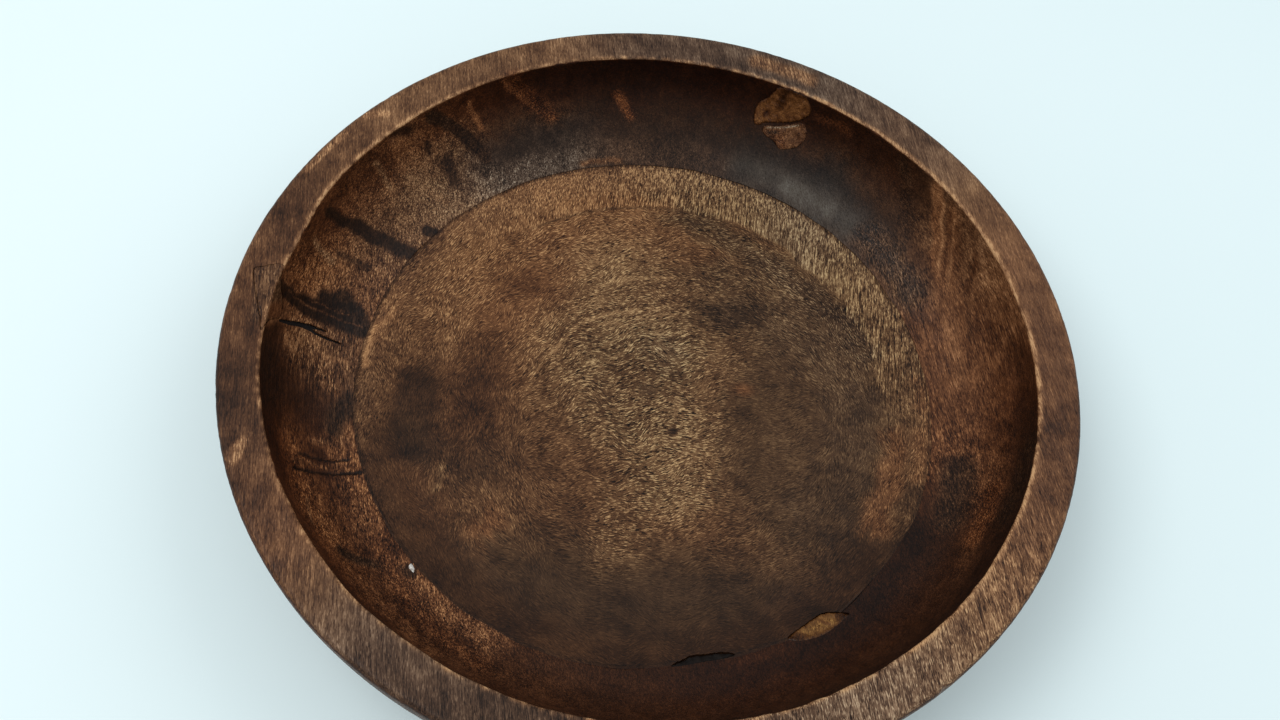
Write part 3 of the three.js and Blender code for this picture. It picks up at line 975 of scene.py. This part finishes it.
def ring_layer(points):
    """The stain and the grain of the ring, with its painted sheen, highlight, shadow and shade."""
    bearing, s = place_of(points)
    turn = bearing % 360
    feather = feathered(points, bearing, 0.3)
    uneven = s + 2.5 * waves(points, 16, 20) + 8 * feather[:, 1]
    light = round_curve(WALL_TOP_LIGHT, turn)
    steps = [(28, 44, WALL_MIDDLE_LIGHT), (44, 57, WALL_LOWER_LIGHT), (57, 69, WALL_LOW_LIGHT)]
    for start, end, knots in steps:
        light = light + (round_curve(knots, turn) - light) * smooth(start, end, uneven)
    top_warm, low_warm = round_curve(WALL_TOP_WARM, turn), round_curve(WALL_LOW_WARM, turn)
    warm = top_warm + (low_warm - top_warm) * smooth(28, 60, uneven)
    on_rim = smooth(RIM_WIDTH + 0.9, RIM_WIDTH - 0.2, s)
    light = light + (round_curve(RIM_LIGHT, turn) - light) * on_rim
    warm = warm + (round_curve(RIM_WARM, turn) - warm) * on_rim
    busy = 0.05 + 0.65 * smooth(0.18, 0.5, light)
    busy = busy * (1 - 0.55 * smooth(-15, 5, bearing) * smooth(62, 45, bearing))
    fleck = on_rim * round_curve(RIM_FLECK, turn) + busy * (1 - 0.85 * on_rim)
    layer = {"light": light, "warm": warm, "fleck": fleck}
    outside = smooth(-1.5, -3.5, s)
    over(layer, outside, *OUTSIDE_LOOK)
    lay_ring_strokes(layer, bearing, s, feather, 1 - outside)
    # The pale line along the mouth's rounded corner is partly real wear and partly a painted
    # highlight.
    patchy = 0.25 * waves(points, 5, 22) + 0.35 * waves(points, 2, 22)
    surface_marks = bell(s - RIM_WIDTH + 0.4, 1.3) * np.clip(round_curve(MOUTH_WEAR_AND_HIGHLIGHT, turn) + patchy, 0, 1)
    over(layer, surface_marks, 0.94, 0.2, 0.3)
    # A painted shadow: a thin dark line along the rim's rounded outer edge.
    painted_edge_shadow = bell(s + 0.6, 1.1) * np.clip(0.2 + 0.3 * waves(points, 9, 23), 0, 1)
    over(layer, painted_edge_shadow, 0.10, 0.0, 0.3)
    joint = bell(s - joint_s(bearing), 0.4) * (points[:, 2] < GLUE_TOP + 2)
    over(layer, joint * (1 - outside) * 0.4, *JOINT_LOOK)
    blotches = waves(points, 14, 24) * 0.05 + waves(points, 5, 25) * 0.04
    blotches = blotches * (1 + 0.3 * on_rim - 0.9 * outside)
    layer["light"] = layer["light"] + blotches * smooth(0.05, 0.4, layer["light"])
    return layer, ring_flow(len(points))


def lay_floor_patches(layer, plane, moved):
    for x, y, length, width, turn, softness, *look in FLOOR_PATCHES:
        away = (moved if length > 8 else plane) - [x, y]
        c, q = math.cos(math.radians(turn)), math.sin(math.radians(turn))
        near = np.hypot((away @ [c, q]) / length, (away @ [-q, c]) / width)
        over(layer, patch_mask(near, softness) * 0.9, *look)


def lay_floor_edge(layer, r, bearing, crescent):
    """The pale crescent at the floor's far edge, a tawny patch and the dark near edge."""
    turn = bearing % 360
    gold = 0.1 + 0.3 * smooth(78, 115, bearing) - 0.25 * bell(bearing - 58, 16)
    over(layer, crescent * 0.9, 0.56 + 0.08 * smooth(20, 50, bearing), gold, 0.55)
    tawny = smooth(118, 126, r) * smooth(150, 172, turn) * smooth(190, 172, turn)
    over(layer, tawny * 0.8, 0.64, 0.5, 0.6)
    near_edge = smooth(98, 124, r) * smooth(192, 215, turn) * smooth(342, 322, turn)
    over(layer, near_edge * 0.8, 0.19, 0.3, 0.05)


def floor_flow(plane, arc, rho, crescent, below):
    """The floor's grain: round the arc's centre, and slanting across near the middle. Its
    third part is how clearly the crescent's long lines show."""
    around = np.arctan2(arc[:, 1], arc[:, 0]) + math.pi / 2
    slant = smooth(95, 35, rho)
    double = np.column_stack([np.cos(2 * around), np.sin(2 * around)])
    double = double * (1 - slant)[:, None] + slant[:, None] * [math.cos(0.6), math.sin(0.6)]
    around = np.arctan2(double[:, 1], double[:, 0]) / 2 + 0.4 * waves(plane, 12, 38)
    free = 1 - np.maximum(crescent, below)
    flow = np.column_stack([np.cos(2 * around) * free - (1 - free), np.sin(2 * around) * free])
    flow /= np.maximum(np.linalg.norm(flow, axis=1), 1e-6)[:, None]
    lines = crescent * (1 - below) * smooth(128, 85, polar_of(plane)[0])
    return np.column_stack([flow, lines])


def floor_layer(points):
    """The stain and the grain of the board."""
    plane = points[:, :2]
    bearing, r = polar_of(plane)
    layer = {"light": np.full(len(r), 0.42), "warm": np.full(len(r), 0.3),
             "fleck": np.full(len(r), 0.5)}
    arc = plane - ARC_CENTRE
    rho = np.hypot(arc[:, 0], arc[:, 1]) + 2.0 * waves(plane, 25, 31)
    tangent = np.column_stack([-arc[:, 1], arc[:, 0]]) / np.maximum(rho, 8)[:, None]
    swept = waves(np.column_stack([rho, np.zeros(len(rho))]), 2.2, 32) * smooth(25, 50, rho)
    moved = wander(plane, 11, 1.8, 30) + tangent * swept[:, None] * 2.6
    lay_floor_patches(layer, plane, moved)
    crescent = smooth(104.5, 108.5, r + 1.2 * waves(plane, 12, 35))
    crescent = crescent * smooth(-10, 18, bearing) * smooth(160, 128, bearing)
    lay_floor_edge(layer, r, bearing, crescent)
    lay_strokes(layer, moved, FLOOR_STROKES, lambda line: line, 0.85)
    tool_line = bell(r - 106, 0.6) * smooth(55, 65, bearing) * smooth(135, 122, bearing)
    over(layer, tool_line * 0.6, 0.25, 0.0, 0.6)
    banded = smooth(38, 50, rho) * smooth(98, 80, rho) * smooth(30, -5, plane[:, 0])
    banded = banded * smooth(-25, 20, plane[:, 1])
    bands = waves(np.column_stack([rho, plane[:, 0] * 0.03]), 2.6, 33)
    layer["light"] = layer["light"] + 0.09 * bands * (0.04 + banded)
    joint = bell(place_of(points)[1] - joint_s(bearing) - 0.8, 0.4)
    over(layer, joint * 0.35, *JOINT_LOOK)
    blotches = waves(points, 16, 36) * 0.035 + waves(points, 6, 37) * 0.04
    layer["light"] = layer["light"] + blotches
    below = points[:, 2] < HEIGHT - COVE_DEPTH - FLOOR_DISH - 1.5
    below = below | ((r > JOINT_RADIUS + 4.5) & (points[:, 2] < GLUE_LOW + 0.5))
    over(layer, below, *OUTSIDE_LOOK)
    return layer, floor_flow(plane, arc, rho, crescent, below)


def mend_layer(inlay, points):
    """The stain on a mend: its own colour and strokes, and a dark line round it."""
    bearing, s = place_of(points)
    plane = inlay.laid_out(np.column_stack([bearing % 360, s]))
    closed = np.vstack([inlay.outline, inlay.outline[:1]])
    edge = np.exp(-distance_to(plane, closed) / MEND_EDGE)
    light, warm, fleck = MEND_LOOKS[inlay.name]
    ones = np.ones(len(points))
    layer = {"light": light + 0.06 * waves(plane, 3, 40), "warm": warm * ones,
             "fleck": fleck * ones}
    lay_strokes(layer, plane, MEND_STROKES.get(inlay.name, []), inlay.laid_out)
    over(layer, edge * PALE_EDGE_STRENGTH.get(inlay.name, EDGE_STRENGTH), 0.05, 0.3, 0.2)
    return layer, ring_flow(len(points))


def write_layer(made, layer, flow):
    values = np.column_stack([layer["light"], layer["warm"], layer["fleck"]])
    for name, data in (("paint", values), ("flow", flow)):
        attribute = made.data.attributes.new(name, "FLOAT_VECTOR", "POINT")
        attribute.data.foreach_set("vector", data.astype(np.float32).ravel())


# ---- materials ----


class Tree:
    """A short way to build a material's nodes."""

    def __init__(self, name):
        self.material = bpy.data.materials.new(name)
        self.material.use_nodes = True
        self.tree = self.material.node_tree
        self.shader = self.tree.nodes["Principled BSDF"]

    def node(self, kind, inputs=(), **settings):
        made = self.tree.nodes.new(kind)
        for key, value in settings.items():
            setattr(made, key, value)
        for socket, value in dict(inputs).items():
            self.feed(made.inputs[socket], value)
        return made

    def feed(self, socket, value):
        if isinstance(value, bpy.types.NodeSocket):
            self.tree.links.new(value, socket)
        else:
            socket.default_value = value

    def math(self, operation, *values, clamp=False):
        inputs = dict(enumerate(values))
        return self.node("ShaderNodeMath", inputs, operation=operation, use_clamp=clamp).outputs[0]

    def noise(self, vector, scale=1.0, detail=2.0, roughness=0.5, distortion=0.0):
        inputs = {"Vector": vector, "Scale": scale, "Detail": detail, "Roughness": roughness,
                  "Distortion": distortion}
        return self.node("ShaderNodeTexNoise", inputs).outputs["Fac"]

    def attribute(self, name):
        return self.node("ShaderNodeAttribute", attribute_name=name).outputs["Vector"]

    def millimetres(self):
        place = self.node("ShaderNodeTexCoord").outputs["Object"]
        return self.scaled(place, 1 / TO_METRES)

    def scaled(self, vector, factor):
        inputs = {0: vector, "Scale": factor}
        return self.node("ShaderNodeVectorMath", inputs, operation="SCALE").outputs[0]

    def spread(self, value, low, high):
        """0 to 1 as value goes from low to high, eased at both ends."""
        inputs = {"Value": value, "From Min": low, "From Max": high}
        settings = {"interpolation_type": "SMOOTHSTEP"}
        return self.node("ShaderNodeMapRange", inputs, **settings).outputs[0]

    def ramp(self, value, stops):
        """A colour ramp through stops of position and linear colour."""
        made = self.node("ShaderNodeValToRGB", {0: value})
        points = made.color_ramp.elements
        while len(points) < len(stops):
            points.new(0.5)
        for point, (position, colour) in zip(points, stops):
            point.position = position
            point.color = (*colour, 1.0)
        return made.outputs[0]

    def surface(self, colour, roughness, specular):
        """Sets the shader's main values and gives back the material."""
        self.feed(self.shader.inputs["Base Color"], colour)
        self.feed(self.shader.inputs["Roughness"], roughness)
        self.feed(self.shader.inputs["Specular IOR Level"], specular)
        return self.material

    def relief(self, height, strength, distance):
        """Gives the surface a fine relief, distance metres high."""
        inputs = {"Height": height, "Strength": strength, "Distance": distance}
        made = self.node("ShaderNodeBump", inputs)
        self.feed(self.shader.inputs["Normal"], made.outputs[0])


def srgb(*colour):
    """A linear colour from 8-bit sRGB values."""
    return [((c / 255 + 0.055) / 1.055) ** 2.4 if c > 10 else c / 255 / 12.92 for c in colour]


STAIN_COLOURS = [
    (0.0, srgb(16, 6, 3)), (0.2, srgb(44, 25, 13)), (0.4, srgb(73, 47, 29)),
    (0.6, srgb(103, 73, 49)), (0.8, srgb(137, 103, 73)), (1.0, srgb(178, 144, 106)),
]
# What the stain's colours are multiplied by where the wood is grey and where it is orange.
# The grey tint also gives the painted sheen low on the far wall its bluish grey.
GREY_AND_SHEEN_TINT = (0.77, 1.38, 2.45)
ORANGE_TINT = (1.10, 0.70, 0.44)


def steered(tree, place, weights, angles, across, along, detail=1.5):
    """Noise stretched along the local grain, about zero. The grain's direction is mixed from
    a few fixed ones, because it turns from place to place."""
    total = None
    for weight, angle in zip(weights, angles):
        inputs = {"Vector": place, "Rotation": (0, 0, angle), "Scale": (along, across, across)}
        turned = tree.node("ShaderNodeMapping", inputs, vector_type="TEXTURE").outputs[0]
        inputs = {0: turned, 1: (angle * 17, angle * 5, along)}
        shifted = tree.node("ShaderNodeVectorMath", inputs, operation="ADD").outputs[0]
        value = tree.math("SUBTRACT", tree.noise(shifted, detail=detail), 0.5)
        if weight is not None:
            value = tree.math("MULTIPLY", value, weight)
        total = value if total is None else tree.math("ADD", total, value)
    return total


def grain_of(tree, place, directions):
    """The grain's angles, how much each one counts, and long lines along the grain."""
    if directions == 1:
        angles, weights = [math.radians(RING_GRAIN)], [None]
        return angles, weights, steered(tree, place, weights, angles, across=0.85, along=18)
    flow = tree.attribute("flow")
    angles = [math.pi * k / directions for k in range(directions)]
    weights = []
    for angle in angles:
        axis = (math.cos(2 * angle), math.sin(2 * angle), 0)
        dot = tree.node("ShaderNodeVectorMath", {0: flow, 1: axis}, operation="DOT_PRODUCT")
        ahead = tree.math("MAXIMUM", dot.outputs["Value"], 0.0)
        weights.append(tree.math("POWER", ahead, 4.0))
    drawn = tree.node("ShaderNodeSeparateXYZ", {0: flow}).outputs[2]
    return angles, weights, steered(tree, place, [drawn], [math.pi / 2], across=0.75, along=13)


def wood(
    name, directions, strength=1.0, roughness=0.44, streaks=0.8, figured=0.55, streak_length=11,
    fleck_length=2.8, lines=0.8, neutral=(1.0, 1.0, 1.0),
):
    """Stained, oiled hardwood. The mesh carries its lightness, warmth, fleck and grain."""
    tree = Tree(name)
    paint = tree.node("ShaderNodeSeparateXYZ", {0: tree.attribute("paint")}).outputs
    light, warm, fleck = paint[0], paint[1], paint[2]
    place = tree.millimetres()
    angles, weights, long_lines = grain_of(tree, place, directions)
    streak = steered(tree, place, weights, angles, across=1.3, along=streak_length)
    figure = steered(tree, place, weights, angles, across=4.5, along=streak_length, detail=3.0)
    dark = steered(tree, place, weights, angles, 0.38, fleck_length, detail=1.0)
    pale = steered(tree, tree.scaled(place, 1.13), weights, angles, 0.46, fleck_length, detail=1.0)
    mottle = tree.noise(tree.scaled(place, 1 / 7), detail=3.0, roughness=0.6, distortion=0.6)
    broad = tree.noise(tree.scaled(place, 1 / 24), detail=2.0, distortion=0.4)
    grit = tree.noise(tree.scaled(place, 1 / 0.55), detail=1.0)

    busy = tree.math("MULTIPLY_ADD", fleck, 0.85, 0.15)
    calm = tree.math("MULTIPLY_ADD", fleck, 1.6, 0.3, clamp=True)
    dark_fleck = tree.spread(dark, 0.04, 0.12)
    pale_fleck = tree.spread(pale, 0.04, 0.13)
    parts = [
        (streak, busy, streaks), (dark_fleck, busy, -0.50), (pale_fleck, busy, 0.52),
        (long_lines, calm, lines), (figure, calm, figured),
    ]
    for cloud, amount in ((mottle, 0.36), (broad, 0.2), (grit, 0.22)):
        parts.append((tree.math("SUBTRACT", cloud, 0.5), calm, amount))
    total = light
    for value, mask, amount in parts:
        masked = tree.math("MULTIPLY", value, mask)
        total = tree.math("MULTIPLY_ADD", masked, amount * strength, total)

    tints = [(0.0, GREY_AND_SHEEN_TINT), (0.5, neutral), (1.0, ORANGE_TINT)]
    tint = tree.ramp(tree.math("MULTIPLY_ADD", warm, 0.5, 0.5), tints)
    mixed = tree.node(
        "ShaderNodeMix", {0: 1.0, 6: tree.ramp(total, STAIN_COLOURS), 7: tint},
        data_type="RGBA", blend_type="MULTIPLY",
    )
    rough = tree.math("MULTIPLY_ADD", tree.math("SUBTRACT", mottle, 0.5), 0.30, roughness)
    rough = tree.math("MULTIPLY_ADD", dark_fleck, 0.12, rough, clamp=True)
    pores = tree.math("MULTIPLY_ADD", dark_fleck, -0.8, tree.math("MULTIPLY", streak, 0.8))
    height = tree.math("MULTIPLY_ADD", grit, 0.35, tree.math("MULTIPLY", pores, busy))
    tree.relief(height, 0.55, 0.00022)
    return tree.surface(mixed.outputs[2], rough, 0.14)


def compound(name, low, high, size, roughness, specular):
    """A filler or a glue: two mixed colours and a fine uneven surface."""
    tree = Tree(name)
    place = tree.millimetres()
    cloud = tree.noise(tree.scaled(place, 1 / size), detail=4.0, roughness=0.62)
    grit = tree.noise(tree.scaled(place, 1 / 0.4), detail=2.0)
    colour = tree.ramp(cloud, [(0.36, srgb(*low)), (0.66, srgb(*high))])
    rough = tree.math("MULTIPLY_ADD", tree.math("SUBTRACT", grit, 0.5), 0.5, roughness, clamp=True)
    tree.relief(tree.math("MULTIPLY_ADD", grit, 0.4, cloud), 0.6, 0.0002)
    return tree.surface(colour, rough, specular)


def paper_material():
    tree = Tree("paper")
    cloud = tree.noise(tree.scaled(tree.millimetres(), 1 / 300), detail=1.0)
    colour = tree.ramp(cloud, [(0.0, (0.70, 0.83, 0.86)), (1.0, (0.73, 0.85, 0.88))])
    return tree.surface(colour, 0.8, 0.1)


# ---- the drop of glue ----

BEAD_BEARING = 229.2
BEAD_S = 74.0
BEAD_RADIUS = 130
BEAD_STRETCH = 1.9


def make_bead():
    """A drop of glue that ran out of the joint and set, with a thin tail up the wall."""
    work = bmesh.new()
    bmesh.ops.create_icosphere(work, subdivisions=4, radius=1.0)
    unit = np.array([tuple(v.co) for v in work.verts])
    work.verts.index_update()
    faces = [[v.index for v in face.verts] for face in work.faces]
    work.free()
    size = 1 + 0.16 * waves(unit, 0.9, 45) + 0.08 * waves(unit, 0.35, 46)
    unit = unit * size[:, None]
    along = unit[:, 0] * BEAD_STRETCH
    taper = 1 - 0.3 * smooth(0, BEAD_STRETCH, along)
    bearing = BEAD_BEARING + (along + 0.5 * unit[:, 1]) / math.radians(BEAD_RADIUS)
    base = inside_points(bearing, BEAD_S + unit[:, 1] * 0.8 * taper - 0.35 * along)
    normal = inside_normal(np.full(len(unit), BEAD_S))
    rise = unit[:, 2] * 0.5 * taper + 0.15
    base[:, :2] += polar(bearing, 1.0) * (normal[0] * rise)[:, None]
    base[:, 2] += normal[1] * rise
    return make_object("glue_drop", base, faces)


# ---- build ----

SHARP_ANGLE = 40.0

ring = make_ring()
board = make_board()
film = make_glue_film()
pieces = {inlay.name: inlay.piece() for inlay in INLAYS}
pockets = [inlay.pocket() for inlay in INLAYS]
for made in (ring, board, film):
    cut(made, pockets)
for pocket in pockets:
    bpy.data.objects.remove(pocket)
pieces["glue_drop"] = make_bead()
pieces.update(turned_wall=ring, turned_floor=board, glue_line=film)

write_layer(ring, *ring_layer(points_of(ring)))
write_layer(board, *floor_layer(points_of(board)))
for inlay in INLAYS:
    made = pieces[inlay.name]
    write_layer(made, *mend_layer(inlay, points_of(made)))

ring_wood = wood("ring_wood_look", 1)
board_wood = wood(
    "board_wood_look", 6, streaks=0.4, figured=0.3, streak_length=5, fleck_length=2.6, lines=1.7,
    neutral=(0.97, 1.06, 1.02),
)
dark_glue = compound("dark_glue_look", (16, 11, 9), (34, 24, 18), 3, 0.6, 0.2)
knot_wood = wood("knot_wood_look", 1, strength=0.9, roughness=0.36, neutral=(1.0, 0.88, 0.60))
tan_filler = wood("tan_filler_look", 1, strength=1.2, roughness=0.62)
amber_filler = wood(
    "amber_filler_look", 1, strength=0.9, roughness=0.34, neutral=(1.0, 0.92, 0.54)
)
black_filler = compound("black_filler_look", (9, 6, 5), (24, 17, 14), 2.5, 0.6, 0.1)
crack_filler = compound("crack_filler_look", (8, 6, 6), (22, 16, 14), 2, 0.7, 0.2)
white_glue = compound("white_glue_look", (150, 144, 136), (226, 224, 218), 1.5, 0.25, 0.5)

# Each piece with the CAD node that it stands for, that node's slot and the piece's material.
PIECES = {
    "turned_wall": ("wall_ring", "ring_wood", ring_wood),
    "turned_floor": ("base_board", "board_wood", board_wood),
    "glue_line": ("glue_film", "dark_glue", dark_glue),
    "knot_upper": ("knot_plug", "knot_wood", knot_wood),
    "knot_lower": ("knot_filler", "tan_filler", tan_filler),
    "oval_mend": ("oval_patch", "amber_filler", amber_filler),
    "joint_fill": ("joint_filler", "black_filler", black_filler),
    "wall_crack": ("crack_filler", "black_filler", crack_filler),
    "rim_corner": ("rim_chip", "ring_wood", ring_wood),
    "glue_drop": ("glue_bead", "white_glue", white_glue),
}
for name, (node, slot, look) in PIECES.items():
    made = pieces[name]
    made.data.materials.clear()
    made.data.materials.append(look)
    made.data.polygons.foreach_set("use_smooth", [True] * len(made.data.polygons))
    made.data.set_sharp_from_angle(angle=math.radians(SHARP_ANGLE))
    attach(made, "root")
    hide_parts(node)

# ---- floor, lights and camera ----

PAPER_REACH = 4.0
PAPER_DROP = 0.0005
STUDIO_COLOUR = (0.98, 1.0, 1.0, 1.0)
STUDIO_STRENGTH = 0.69
LENS = 32.31
SENSOR_WIDTH = 36.0
CAMERA_PLACE = (-0.00562, -0.26111, 0.46307)
# How far the camera looks down from level, and how far it is tilted to one side.
CAMERA_PITCH = 58.39
CAMERA_TILT = 7.68

scene = bpy.context.scene
scene.view_settings.view_transform = "Standard"
scene.view_settings.look = "None"

corners = [(-PAPER_REACH, -PAPER_REACH, 0), (PAPER_REACH, -PAPER_REACH, 0),
           (PAPER_REACH, PAPER_REACH, 0), (-PAPER_REACH, PAPER_REACH, 0)]
paper_mesh = bpy.data.meshes.new("paper_floor")
paper_mesh.from_pydata(corners, [], [(0, 1, 2, 3)])
paper_mesh.materials.append(paper_material())
paper = bpy.data.objects.new("paper_floor", paper_mesh)
paper.location.z = -PAPER_DROP
scene.collection.objects.link(paper)

world = bpy.data.worlds.new("studio")
world.use_nodes = True
background = world.node_tree.nodes["Background"]
background.inputs["Color"].default_value = STUDIO_COLOUR
background.inputs["Strength"].default_value = STUDIO_STRENGTH
scene.world = world


def softbox(name, place, target, size, power, colour):
    light = bpy.data.lights.new(name, "AREA")
    light.shape = "RECTANGLE"
    light.size, light.size_y = size
    light.energy = power
    light.color = colour
    made = bpy.data.objects.new(name, light)
    made.location = place
    aim = Vector(target) - Vector(place)
    made.rotation_euler = aim.to_track_quat("-Z", "Y").to_euler()
    scene.collection.objects.link(made)


softbox("key", (-0.75, -0.15, 1.35), (0, 0, 0.03), (1.0, 0.8), 10.2, (1.0, 1.0, 0.99))
softbox("fill", (0.9, 0.5, 1.3), (0, 0, 0.03), (1.2, 1.0), 5.2, (0.98, 1.0, 1.0))

camera_data = bpy.data.cameras.new("camera")
camera_data.lens = LENS
camera_data.sensor_width = SENSOR_WIDTH
camera = bpy.data.objects.new("camera", camera_data)
aim = Matrix.Rotation(math.radians(90 - CAMERA_PITCH), 4, "X")
tilt = Matrix.Rotation(math.radians(CAMERA_TILT), 4, "Z")
camera.matrix_world = Matrix.Translation(CAMERA_PLACE) @ aim @ tilt
scene.collection.objects.link(camera)
scene.camera = camera
